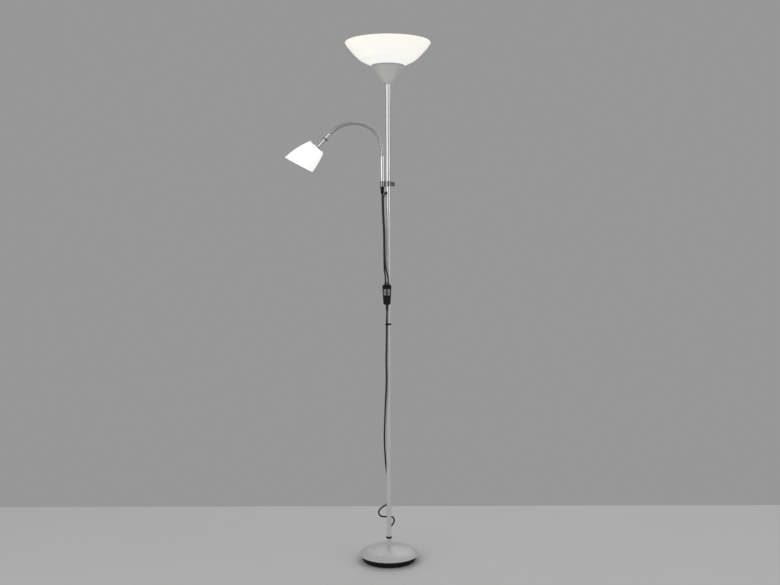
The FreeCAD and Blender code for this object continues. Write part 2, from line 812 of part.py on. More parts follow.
def build_small_holder(place, back):
    ring = back + S["shade_wall"]
    end = back + S["small_holder_length"]
    radius, bore = S["small_holder_radius"], S["neck_bore_radius"]
    mouth = end - S["small_mouth_depth"]
    turned("reading_lampholder", [
        (bore, back), (radius, back), (radius, end - S["cap_sheet"]),
        (radius - S["cap_sheet"], end), (S["small_mouth_radius"], end),
        (S["small_mouth_radius"], mouth), (bore, mouth)], place)
    tube("reading_holder_ring", S["small_ring_radius"], radius + S["thread_clearance"],
         ring, ring + S["small_ring_height"], place)
    bulb, cap = S["small_bulb_radius"], S["small_bulb_cap_radius"]
    glass = end + S["free_gap"] * 2
    tip = end + S["small_bulb_length"]
    turned("reading_bulb", [
        (0, mouth), (cap, mouth), (cap, glass),
        (bulb, glass + bulb, bulb * 0.82, glass + bulb * 0.45),
        (bulb, tip - bulb),
        (S["tip_flat"], tip, bulb * 0.707, tip - bulb * 0.293), (0, tip)], place)


def build_reading_shade(place, back):
    """Opal shade: a skewed flare from a round back to a larger mouth cut on the slant."""
    stations = [
        (S["shade_offset"], 0.0, S["shade_back_radius"], 0.0),
        (S["shade_middle_offset"], S["shade_middle_reach"].value, S["shade_middle_radius"],
         S["shade_middle_tilt"].value),
        (S["shade_mouth_offset"], S["shade_mouth_reach"].value, S["shade_mouth_radius"],
         S["shade_mouth_tilt"].value)]
    wall = S["shade_wall"].value
    outer = flare(stations, 0.0)
    inner = flare(stations, wall)
    floor = Part.makeCylinder(S["shade_back_radius"].value + wall, wall,
                              Vector(S["shade_offset"].value, 0, 0))
    hole = Part.makeCylinder(S["small_holder_radius"].value + S["free_gap"].value, wall * 3,
                             Vector(0, 0, -wall))
    hollow = inner.cut(floor)
    shade = outer.cut(hollow).cut(hole)
    shaped("reading_shade", shade, place.multiply(at(0, 0, back.value)))


def flare(stations, inset):
    """Loft through tilted circles; inset shrinks each one by the wall."""
    rings = []
    for offset, reach, radius, tilt in stations:
        lean = math.radians(tilt)
        normal = Vector(-math.sin(lean), 0, math.cos(lean))
        ring = Part.Circle(Vector(offset.value, 0, reach), normal, radius.value - inset)
        rings.append(Part.Wire([ring.toShape()]))
    return Part.makeLoft(rings, True, False)


# ---------------------------------------------------------------- in-line double switch
def switch_axis_y():
    """The switch lies in front of the pole and just clear of it."""
    return -(S["pole_radius"] + S["free_gap"] + S["switch_back_depth"]).value


def switch_outline():
    """Front view about the middle of the bottom edge: slightly narrower at the bottom."""
    top, bottom = S["switch_top_width"] / 2, S["switch_bottom_width"] / 2
    length, corner = S["switch_length"], S["switch_corner"]
    near = corner * 0.29
    return [
        (bottom - corner, 0), (bottom, corner, bottom - near, near),
        (top, length - corner), (top - corner, length, top - near, length - near),
        (corner - top, length), (as_size(0) - top, length - corner, near - top, length - near),
        (as_size(0) - bottom, corner), (corner - bottom, 0, near - bottom, near)]


def build_switch():
    place = at(S["switch_shift"].value, switch_axis_y(), S["switch_bottom"].value)
    back = switch_half("switch_back_shell", S["switch_back_depth"], False)
    front = switch_half("switch_front_shell", S["switch_front_depth"], True)
    wells = []
    for side in (-1, 1):
        wells += rocker_well(side)
    ports = port_bores("front")
    keep(cut("switch_front", front, wells + ports), "switch_front", place)
    screws = screw_bores()
    keep(cut("switch_back", back, port_bores("back") + screws), "switch_back", place)
    group_screws(place)
    for side, name in ((-1, "switch_rocker_reading"), (1, "switch_rocker_bowl")):
        build_rocker(side, name, place)
    build_reliefs(place)


def switch_half(name, depth, front):
    """Half of the housing, padded away from the split line and rounded at its face."""
    body = doc.addObject("PartDesign::Body", name)
    sketch = new_sketch(body, name + "_outline", "XZ_Plane")
    draw(sketch, switch_outline())
    pad = body.newObject("PartDesign::Pad", name + "_pad")
    pad.Profile = sketch
    pad.setExpression("Length", depth.text)
    pad.Reversed = not front
    doc.recompute()
    face_y = -depth.value if front else depth.value
    edges = ["Edge%d" % (i + 1) for i, edge in enumerate(pad.Shape.Edges)
             if all(abs(v.Point.y - face_y) < 1e-3 for v in edge.Vertexes)]
    rounded = body.newObject("PartDesign::Fillet", name + "_rounded")
    rounded.Base = (pad, edges)
    rounded.setExpression("Radius", S["switch_round"].text)
    body.Tip = rounded
    return body


def rocker_centre(side):
    return Vector(side * S["rocker_spacing"].value / 2, -S["switch_front_depth"].value + 1.0,
                  S["rocker_height"].value)


def rocker_well(side):
    """Well that the rocker stands in, and the two round seats of its pins."""
    gap = S["free_gap"].value
    centre = rocker_centre(side)
    width, length = S["rocker_width"] + gap * 2, S["rocker_length"] + gap * 4
    depth = S["rocker_depth"] + S["switch_round"]
    well = box("rocker_well_%d" % side, (width, depth, length), Placement(
        centre - Vector(width.value / 2, S["switch_round"].value, length.value / 2), Rotation()))
    reach = S["rocker_width"] + S["rocker_pin_reach"] * 2 + gap
    seat = cylinder("rocker_seat_%d" % side, S["rocker_pin_radius"] + S["running_clearance"],
                    reach, Placement(centre + Vector(-reach.value / 2, 2.0, 0),
                                     Rotation(Vector(0, 1, 0), 90)))
    return [well, seat]


def build_rocker(side, name, place):
    """Rocker with a dished face, at rest tilted to on, turning on two moulded pins."""
    width, half = S["rocker_width"].value, S["rocker_length"].value / 2
    depth = S["rocker_depth"].value
    tilt = math.radians(S["rocker_tilt"].value)
    proud = half * math.sin(tilt) + 1.6
    face = [Vector(0, -proud, half), Vector(0, -proud * 0.35, 0), Vector(0, -proud, -half)]
    foot = depth - proud - half * math.sin(tilt)
    outline = Part.Wire([
        Part.Arc(face[0], face[1], face[2]).toShape(),
        Part.makeLine(face[2], Vector(0, foot * 0.5, 1 - half)),
        Part.makeLine(Vector(0, foot * 0.5, 1 - half), Vector(0, foot, 3 - half)),
        Part.makeLine(Vector(0, foot, 3 - half), Vector(0, foot, half - 3)),
        Part.makeLine(Vector(0, foot, half - 3), Vector(0, foot * 0.5, half - 1)),
        Part.makeLine(Vector(0, foot * 0.5, half - 1), face[0])])
    block = Part.Face(outline).extrude(Vector(width, 0, 0))
    block.translate(Vector(-width / 2, 0, 0))
    reach = width + S["rocker_pin_reach"].value * 2
    pin = Part.makeCylinder(S["rocker_pin_radius"].value, reach,
                            Vector(-reach / 2, 0, 0), Vector(1, 0, 0))
    rocker = block.fuse(pin)
    turn = Placement(rocker_centre(side) + Vector(0, 2.0, 0),
                     Rotation(Vector(1, 0, 0), S["rocker_tilt"].value))
    shaped(name, rocker.removeSplitter(), place.multiply(turn))


def port_places():
    """Where cords enter the housing, in the switch's own frame: two above, one below."""
    half = S["port_spacing"].value / 2
    top = S["switch_length"].value
    return [Vector(-half, 0, top), Vector(half, 0, top), Vector(0, 0, 0)]


def relief_reach(index):
    """How far the strain relief at a port stands out of the housing."""
    length = S["mains_relief_length"] if index == 2 else S["relief_length"]
    return length - S["relief_grip"]


def port_bores(name):
    """Round seats for the strain reliefs. Each seam is turned away from its own shell."""
    grip = S["relief_grip"]
    seam = Rotation(Vector(0, 0, 1), 90 if name == "front" else -90)
    bores = []
    for index, point in enumerate(port_places()):
        height = point.z - grip.value if point.z > 0 else 0.0
        radius = S["relief_root_radius"] if index == 2 else S["relief_root_radius"] * 0.9
        bores.append(cylinder("port_%s_%d" % (name, index), radius + S["thread_clearance"],
                              grip, Placement(Vector(point.x, 0, height), seam)))
    return bores


def build_reliefs(place):
    """Tapered sleeves at the three cord ports, gripped between the housing halves."""
    sleeves = []
    grip = S["relief_grip"]
    for index, point in enumerate(port_places()):
        mains = index == 2
        core = S["mains_cord_radius"] if mains else S["lamp_cord_radius"]
        root = S["relief_root_radius"] if mains else S["relief_root_radius"] * 0.9
        tip = S["relief_tip_radius"] if mains else S["relief_tip_radius"] * 0.9
        reach = relief_reach(index)
        sleeve = turned("relief_%d" % index, [
            (core * 0.6, as_size(0) - grip), (root, as_size(0) - grip), (root, 0),
            (tip, reach), (core * 0.6, reach)])
        parts.remove(sleeve)
        flip = Rotation(Vector(1, 0, 0), 180) if mains else Rotation()
        sleeve.Placement = place.multiply(Placement(point, flip))
        sleeves.append(sleeve)
    group("switch_reliefs", sleeves)


def screw_places():
    length = S["switch_length"].value
    return [Vector(0, 0, length * 0.26), Vector(0, 0, length * 0.86)]


def screw_bores():
    return [cylinder("screw_bore_%d" % i, 2.9, S["switch_back_depth"],
                     Placement(point + Vector(0, S["switch_back_depth"].value * 0.6, 0),
                               Rotation(Vector(1, 0, 0), -90)))
            for i, point in enumerate(screw_places())]


def group_screws(place):
    """Two pan-head screws sunk in the back of the housing."""
    screws = []
    head = S["switch_back_depth"] * 0.3
    for index, point in enumerate(screw_places()):
        screw = cylinder("housing_screw_%d" % index, 2.85, head, place.multiply(Placement(
            point + Vector(0, S["switch_back_depth"].value * 0.6, 0),
            Rotation(Vector(1, 0, 0), -90))))
        screws.append(screw)
    group("switch_screws", screws)


# ---------------------------------------------------------------- clips and grommet
def build_clip(label, height, cord):
    """Spring ring round the pole with a smaller loop that holds the cord."""
    wall, depth = S["clip_wall"].value, S["clip_depth"].value
    pole = S["pole_radius"].value + S["thread_clearance"].value
    loop = S["mains_cord_radius"].value + S["thread_clearance"].value
    centre = Vector(cord[0], cord[1], 0)
    ring = Part.makeCylinder(pole + wall, depth)
    eye = Part.makeCylinder(loop + wall, depth, centre)
    body = ring.fuse(eye)
    body = body.cut(Part.makeCylinder(pole, depth)).cut(Part.makeCylinder(loop, depth, centre))
    shaped(label, body.removeSplitter(), at(0, 0, height - depth / 2))


def grommet_heading():
    """The bush points out of the pole and down towards the switch."""
    bearing, drop = math.radians(GROMMET_BEARING), math.radians(GROMMET_DROP)
    level = math.cos(drop)
    return Vector(level * math.cos(bearing), level * math.sin(bearing), -math.sin(drop))


def grommet_place():
    """Origin on the pole's axis, Z along the bush."""
    heading = grommet_heading()
    rise = S["pole_radius"].value * math.tan(math.radians(GROMMET_DROP))
    base = Vector(0, 0, S["grommet_height"].value + rise)
    return Placement(base, Rotation(Vector(0, 0, 1), heading))


def grommet_tip():
    """Distance along the bush from the pole's axis to its outer end."""
    return S["pole_radius"] / math.cos(math.radians(GROMMET_DROP)) + S["grommet_reach"]


def build_grommet():
    """Black bush in the wall of the pole, with a bead round the cord outside it."""
    cord = S["lamp_cord_radius"]
    seat = cord + S["free_gap"] - S["thread_clearance"]
    inside = S["pole_radius"] - S["pole_wall"] / 2
    tip, reach, bead = grommet_tip(), S["grommet_reach"], S["grommet_radius"]
    outline = [(cord * 0.6, inside), (seat, inside), (seat, tip - reach * 0.49),
               (bead * 0.8, tip - reach * 0.49), (bead, tip - reach * 0.36),
               (bead * 0.92, tip - reach * 0.15), (cord * 1.2, tip), (cord * 0.6, tip)]
    turned("pole_grommet", outline, grommet_place())


# ---------------------------------------------------------------- cords
def rounded_route(points, name):
    """Wire of straight runs joined by tangent arcs through a list of points."""
    edges, reached, tightest = [], points[0], 1e9
    for before, corner, after in zip(points, points[1:], points[2:]):
        coming, going = corner - before, after - corner
        reach = 0.45 * min(coming.Length, going.Length)
        half_turn = coming.getAngle(going) / 2
        coming.normalize()
        going.normalize()
        radius = reach / math.tan(half_turn)
        tightest = min(tightest, radius)
        start, end = corner - coming * reach, corner + going * reach
        inward = going - coming
        inward.normalize()
        middle = corner + inward * (radius / math.cos(half_turn) - radius)
        edges.append(Part.LineSegment(reached, start).toShape())
        edges.append(Part.Arc(start, middle, end).toShape())
        reached = end
    edges.append(Part.LineSegment(reached, points[-1]).toShape())
    wire = Part.Wire(edges)
    print("%s: length %.0f, tightest bend %.1f" % (name, wire.Length, tightest))
    return wire


def run_cord(label, points, radius):
    wire = rounded_route(points, label)
    solid = swept(wire, radius.value)
    expected = math.pi * radius.value ** 2 * wire.Length
    print("%s: volume %.4f of section by length" % (label, solid.Volume / expected))
    shaped(label, solid)


def switch_port(index):
    """Tip of the strain relief at a port of the switch."""
    point = port_places()[index]
    reach = relief_reach(index).value
    tip = reach if point.z > 0 else -reach
    return Vector(S["switch_shift"].value + point.x, switch_axis_y(),
                  S["switch_bottom"].value + point.z + tip)


def reading_cord_points():
    start = Vector(-S["stem_offset"].value, 0,
                   (S["clamp_bottom"] - S["gland_length"] - S["thread_clearance"] * 2).value)
    end = switch_port(0)
    return [start, Vector(start.x, 0, 1262), Vector(-20.0, -0.4, 1248), Vector(-18.6, -4.0, 1205),
            Vector(-15.2, -8.6, 1150), Vector(-14.8, -9.4, 1096), Vector(-14.2, -10.0, 1045),
            Vector(-13.4, -12.4, 1012), end + Vector(0, 0, 18), end]


def bowl_cord_points():
    place = grommet_place()
    tip = grommet_tip().value
    start, bend = (place.multVec(Vector(0, 0, reach)) for reach in (tip, tip + 12))
    end = switch_port(1)
    return [start, bend, Vector(-16.4, -15.2, 1238), Vector(-15.0, -14.6, 1192),
            Vector(-12.2, -14.8, 1146), Vector(-12.0, -15.6, 1092),
            Vector(-11.2, -16.0, 1043), Vector(-7.6, -18.4, 1014),
            end + Vector(0, 0, 16), end]


def clip_eye(bearing):
    """Centre of the cord where a clip holds it against the pole."""
    reach = (S["pole_radius"] + S["clip_wall"] + S["mains_cord_radius"]
             + S["thread_clearance"] * 2).value
    turn = math.radians(bearing)
    return Vector(reach * math.cos(turn), reach * math.sin(turn), 0)


def mains_cord_points():
    start = switch_port(2)
    upper, lower = clip_eye(UPPER_CLIP_BEARING), clip_eye(LOWER_CLIP_BEARING)
    high, low = S["clip_upper_height"].value, S["clip_lower_height"].value
    return [
        start, start - Vector(0, 0, 14), upper + Vector(0, 0, high + 18),
        upper + Vector(0, 0, high - 20), Vector(-6.8, -12.0, 762), Vector(-8.8, -10.2, 700),
        Vector(-6.8, -11.6, 640), Vector(-10.6, -8.4, 565), Vector(-13.5, -4.0, 492),
        Vector(-15.9, 1.0, 420), Vector(-11.8, 7.6, 354), Vector(-9.0, 11.0, 316),
        Vector(-2.5, 13.4, 276), Vector(-1.0, 14.4, 238), Vector(-3.0, 14.4, 194),
        Vector(-29.0, 10.5, 179.5), Vector(-36.5, 10.5, 165.5), Vector(-30.0, 11.5, 151.5),
        Vector(-8.0, 15.2, 147.5), Vector(7.0, 15.4, 149.5), Vector(19.5, 14.0, 140.0),
        Vector(19.2, 13.6, 125.0), Vector(8.0, 13.4, 112.0), lower + Vector(0, 0, low + 16),
        lower + Vector(0, 0, low - 12), Vector(1.2, 30.0, 55.5), Vector(2.4, 56.0, 51.4),
        Vector(2.0, 80.0, 45.0), Vector(1.4, 100.0, 34.5), Vector(1.6, 112.0, 24.5)]


def polar(radius, bearing, height):
    """Point behind the base: bearing in degrees from +Y, positive towards +X."""
    turn = math.radians(bearing)
    return Vector(radius * math.sin(turn), radius * math.cos(turn), height)


def fold(bearing, away, heights):
    """Corners of a half turn of the hank, from its outer run to its inner one."""
    radius = S["hank_fold_radius"].value
    centre = polar(S["hank_inner_radius"].value + radius, bearing, 0)
    out = polar(1, bearing, 0)
    along = Vector(out.y, -out.x, 0) * away
    corner = radius / math.cos(math.radians(22.5))
    points = []
    for step, height in enumerate(heights):
        turn = math.radians(22.5 + 45 * step)
        points.append(centre + (out * math.cos(turn) + along * math.sin(turn)) * corner
                      + Vector(0, 0, height))
    return points


def run(radius, height):
    """Two corners of a run that follows the rim of the base."""
    quarter = (HANK_END - HANK_START) / 4
    reach = radius / math.cos(math.radians(quarter))
    return [polar(reach, HANK_START + quarter, height), polar(reach, HANK_END - quarter, height)]


def plug_frame():
    """Origin where the plug's strain relief ends in the plug, X along the cord. The cord
    enters the relief where its line is nearest to the base."""
    turn = math.radians(PLUG_BEARING)
    heading = Vector(-math.cos(turn), -math.sin(turn), 0)
    line = Vector(-math.sin(turn), math.cos(turn), 0) * S["plug_line"].value
    entry = line + heading * S["plug_relief_length"].value
    entry.z = (S["plug_thickness"] / 2 + S["floor_gap"]).value
    return Placement(entry, Rotation(Vector(0, 0, 1), 180 + PLUG_BEARING))


def hank_heights():
    low = (S["mains_cord_radius"] + S["tie_wall"] + S["floor_gap"] * 2).value
    return low, low + S["hank_step"].value


def hank_points(start):
    """Two turns laid on the floor round the back of the base, then on to the plug."""
    low, high = hank_heights()
    inner = S["hank_inner_radius"].value
    outer = inner + 2 * S["hank_fold_radius"].value
    step = S["hank_step"].value
    rise = [high, high - step * 0.35, low + step * 0.15, low]
    plug = plug_frame()
    reach = S["plug_relief_length"].value
    points = [start, Vector(4.0, 124.0, low + 8.5), Vector(15.0, 131.2, low + 0.6)]
    points += run(outer, low)[1:]
    points += fold(HANK_END, 1, [low] * 4)
    points += run(inner, low)[::-1]
    points += fold(HANK_START, -1, rise)[::-1]
    points += run(outer, high)
    points += fold(HANK_END, 1, [high] * 4)
    points += run(inner, high)[::-1]
    points += [polar(inner + 1.2, HANK_START - 5.5, high),
               plug.multVec(Vector(-reach - 12, 0, 0)), plug.multVec(Vector(-reach, 0, 0))]
    return points


def build_cords():
    lamp, mains = S["lamp_cord_radius"], S["mains_cord_radius"]
    run_cord("reading_cord", reading_cord_points(), lamp)
    run_cord("bowl_cord", bowl_cord_points(), lamp)
    down = mains_cord_points()
    run_cord("mains_cord", down, mains)
    run_cord("mains_cord_hank", hank_points(down[-1]), mains)
    for label, height, bearing in (
            ("cable_clip_upper", S["clip_upper_height"].value, UPPER_CLIP_BEARING),
            ("cable_clip_lower", S["clip_lower_height"].value, LOWER_CLIP_BEARING)):
        build_clip(label, height, clip_eye(bearing))
    build_tie()
    build_plug()


def build_tie():
    """Flat band round the two runs that lie one above the other."""
    low, high = hank_heights()
    radius, wall = S["mains_cord_radius"].value, S["tie_wall"].value
    gap = S["floor_gap"].value
    width = S["tie_width"].value
    deep, tall = radius * 2 + gap * 2, high - low + radius * 2 + gap * 2
    outside = Part.makeBox(width, deep + wall * 2, tall + wall * 2,
                           Vector(-width / 2, -deep / 2 - wall, -wall))
    inside = Part.makeBox(width, deep, tall, Vector(-width / 2, -deep / 2, 0))
    bearing = (HANK_START + HANK_END) / 2
    centre = polar(S["hank_inner_radius"].value, bearing, low - radius - gap)
    shaped("hank_tie", outside.cut(inside),
           Placement(centre, Rotation(Vector(0, 0, 1), -bearing)))


def build_plug():
    """Flat moulded plug that narrows to the cord, and its two round pins."""
    place = plug_frame()
    half, entry = S["plug_width"].value / 2, S["plug_entry_width"].value / 2
    length, thick = S["plug_length"].value, S["plug_thickness"].value
    outline = [(0, -entry), (length * 0.45, -half), (length, -half), (length, half),
               (length * 0.45, half), (0, entry)]
    corners = [Vector(x, y, -thick / 2) for x, y in outline]
    block = Part.Face(Part.makePolygon(corners + corners[:1])).extrude(Vector(0, 0, thick))
    rounded = [edge for edge in block.Edges if edge.CenterOfMass.x > 0.1]
    body = block.makeFillet(S["plug_round"].value * 0.8, rounded)
    shaped("plug_body", body, place)
    turned("plug_relief", [
        (S["mains_cord_radius"] * 0.6, 0), (S["relief_tip_radius"], 0),
        (S["relief_root_radius"], S["plug_relief_length"]),
        (S["mains_cord_radius"] * 0.6, S["plug_relief_length"])],
        place.multiply(Placement(Vector(-S["plug_relief_length"].value, 0, 0),
                                 Rotation(Vector(0, 1, 0), 90))))
    pins = []
    for side in (-1, 1):
        pin = turned("plug_pin_%d" % (side + 1), [
            (0, 0), (S["pin_radius"], 0), (S["pin_radius"], S["pin_length"] - S["pin_radius"]),
            (S["tip_flat"], S["pin_length"], S["pin_radius"] * 0.75,
             S["pin_length"] - S["pin_radius"] * 0.293), (0, S["pin_length"])])
        parts.remove(pin)
        pin.Placement = place.multiply(Placement(
            Vector(length, side * S["pin_spacing"].value / 2, 0),
            Rotation(Vector(0, 1, 0), 90)))
        pins.append(pin)
    group("plug_pins", pins)


build_base()
build_pole()
build_head()
build_clamp()
build_hose()
build_reading_head()
build_switch()
build_grommet()
build_cords()
doc.recompute()

# ---------------------------------------------------------------- check and write
for item in doc.Objects:
    if "Invalid" in item.State or "Error" in item.State:
        raise RuntimeError("%s failed: %s" % (item.Label, item.State))
os.makedirs("parts", exist_ok=True)
for part in parts:
    shape = part.Shape
    if shape.isNull() or not shape.isValid():
        raise RuntimeError("%s has no valid shape" % part.Label)
    shape.exportStep("parts/%s.step" % part.Label)
print("%d nodes written" % len(parts))
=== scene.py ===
import json
import math

import bmesh
import bpy
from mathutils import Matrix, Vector


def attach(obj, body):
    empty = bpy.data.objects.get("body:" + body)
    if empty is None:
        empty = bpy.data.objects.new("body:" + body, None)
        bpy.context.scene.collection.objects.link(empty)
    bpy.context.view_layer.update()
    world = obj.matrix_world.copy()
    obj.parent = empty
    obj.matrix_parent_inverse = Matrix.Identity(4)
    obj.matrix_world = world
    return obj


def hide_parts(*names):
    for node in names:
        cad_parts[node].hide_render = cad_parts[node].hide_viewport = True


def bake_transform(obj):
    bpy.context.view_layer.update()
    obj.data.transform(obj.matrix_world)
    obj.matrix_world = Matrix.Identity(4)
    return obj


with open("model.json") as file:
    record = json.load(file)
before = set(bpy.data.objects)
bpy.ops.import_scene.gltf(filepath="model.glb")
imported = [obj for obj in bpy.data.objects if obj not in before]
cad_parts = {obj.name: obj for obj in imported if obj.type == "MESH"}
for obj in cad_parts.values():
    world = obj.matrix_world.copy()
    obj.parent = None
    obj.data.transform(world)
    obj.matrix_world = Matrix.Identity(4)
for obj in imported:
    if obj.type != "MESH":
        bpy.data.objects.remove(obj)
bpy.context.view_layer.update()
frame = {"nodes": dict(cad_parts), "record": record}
nodes = frame["nodes"]
scene = bpy.context.scene
MM = 0.001  # metres in one millimetre

# The lamp's shapes come with the frame. This script gives them their looks, draws the hose and
# the cords again in finer form, and adds the floor, the light and the camera.


# ------------------------------------------------------------------ materials
NOISE_DETAIL = 3.0
NOISE_LOW, NOISE_HIGH = 0.25, 0.75  # the part of its range that a noise mostly fills
DARK_STOP, LIGHT_STOP = 0.3, 0.7
ROUGH_LOW, ROUGH_HIGH = 0.85, 1.2  # roughness varies between these shares of its value
CLOUD_SHARE = 0.35  # broad clouds in a metal, against its fine grain
CLOUD_SCALE, CLOUD_STRETCH = 6.0, (1, 1, 0.4)
METAL_BUMP, PLASTIC_BUMP, GLASS_BUMP = 0.35, 0.4, 0.15
SMEAR_SCALE = 40.0  # the uneven gloss of plastic
GLOW_SCALE, GLOW_CLOUD = 9.0, 0.06  # clouds, and how far they shift the glow of opal glass
GLASS_SCALE, GLASS_DEPTH = 60.0, 0.00002


class Graph:
    """A material's node tree, written as calls."""

    def __init__(self, name):
        self.material = bpy.data.materials.new(name)
        self.material.use_nodes = True
        self.tree = self.material.node_tree
        self.surface = self.tree.nodes["Principled BSDF"]
        self.where = self.tree.nodes.new("ShaderNodeTexCoord").outputs["Object"]

    def add(self, kind, inputs, **settings):
        node = self.tree.nodes.new(kind)
        for name, value in settings.items():
            setattr(node, name, value)
        for name, value in inputs.items():
            self.put(node, name, value)
        return node

    def put(self, node, name, value):
        if isinstance(value, bpy.types.NodeSocket):
            self.tree.links.new(value, node.inputs[name])
        else:
            node.inputs[name].default_value = value

    def set(self, **inputs):
        """Settings of the surface itself, with underscores for spaces."""
        for name, value in inputs.items():
            self.put(self.surface, name.replace("_", " "), value)

    def noise(self, scale, stretch=(1, 1, 1)):
        moved = self.add("ShaderNodeMapping", {"Vector": self.where, "Scale": stretch})
        made = self.add("ShaderNodeTexNoise", {
            "Vector": moved.outputs[0], "Scale": scale, "Detail": NOISE_DETAIL})
        return made.outputs["Fac"]

    def roughness(self, value, rough):
        made = self.add("ShaderNodeMapRange", {
            "Value": value, "From Min": NOISE_LOW, "From Max": NOISE_HIGH,
            "To Min": rough * ROUGH_LOW, "To Max": rough * ROUGH_HIGH})
        return made.outputs["Result"]

    def tones(self, value, stops):
        """Colour ramp through (place, colour) stops."""
        ramp = self.add("ShaderNodeValToRGB", {"Fac": value})
        elements = ramp.color_ramp.elements
        while len(elements) < len(stops):
            elements.new(0.5)
        for element, (place, colour) in zip(elements, stops):
            element.position = place
            element.color = (*colour, 1)
        return ramp.outputs["Color"]

    def shades(self, value, dark, light):
        return self.tones(value, [(DARK_STOP, dark), (LIGHT_STOP, light)])

    def bump(self, height, depth, strength):
        made = self.add("ShaderNodeBump", {"Height": height, "Distance": depth,
                                           "Strength": strength})
        self.put(self.surface, "Normal", made.outputs["Normal"])


def grey(value):
    return (value, value, value)


def metal(name, light, dark, rough, grain, stretch=(1, 1, 1), depth=0.000003, metallic=1.0):
    g = Graph(name)
    fine = g.noise(grain, stretch)
    cloud = g.noise(CLOUD_SCALE, CLOUD_STRETCH)
    mixed = g.add("ShaderNodeMix", {"Factor": CLOUD_SHARE, "A": fine, "B": cloud})
    mixed = mixed.outputs["Result"]
    g.set(Base_Color=g.shades(mixed, dark, light), Metallic=metallic,
          Roughness=g.roughness(mixed, rough))
    g.bump(fine, depth, METAL_BUMP)
    return g.material


def plastic(name, light, dark, rough, grain, depth, coat=0.0, gloss=0.5):
    g = Graph(name)
    fine = g.noise(grain)
    g.set(Base_Color=g.shades(fine, dark, light),
          Roughness=g.roughness(g.noise(SMEAR_SCALE), rough), Coat_Weight=coat,
          Coat_Roughness=0.06, Coat_IOR=1.6, Specular_IOR_Level=gloss)
    g.bump(fine, depth, PLASTIC_BUMP)
    return g.material


def opal(name, centre, reach, bright, edge, tint, strength):
    """Lit opal glass: brightest round the bulb and creamier towards the rim."""
    g = Graph(name)
    from_bulb = g.add("ShaderNodeVectorMath", {0: g.where, 1: centre}, operation="DISTANCE")
    near = g.add("ShaderNodeMapRange", {
        "Value": from_bulb.outputs["Value"], "From Min": reach[0], "From Max": reach[1],
        "To Min": 0.0, "To Max": 1.0}, interpolation_type="SMOOTHSTEP").outputs["Result"]
    shifted = g.add("ShaderNodeMath", {0: g.noise(GLOW_SCALE), 1: GLOW_CLOUD},
                    operation="MULTIPLY").outputs[0]
    place = g.add("ShaderNodeMath", {0: near, 1: shifted}, operation="ADD").outputs[0]
    g.set(Base_Color=tint, Roughness=0.16, Coat_Weight=0.35, Coat_Roughness=0.05,
          Emission_Color=g.tones(place, [(0.0, bright), (1.0, edge)]),
          Emission_Strength=strength)
    g.bump(g.noise(GLASS_SCALE), GLASS_DEPTH, GLASS_BUMP)
    return g.material


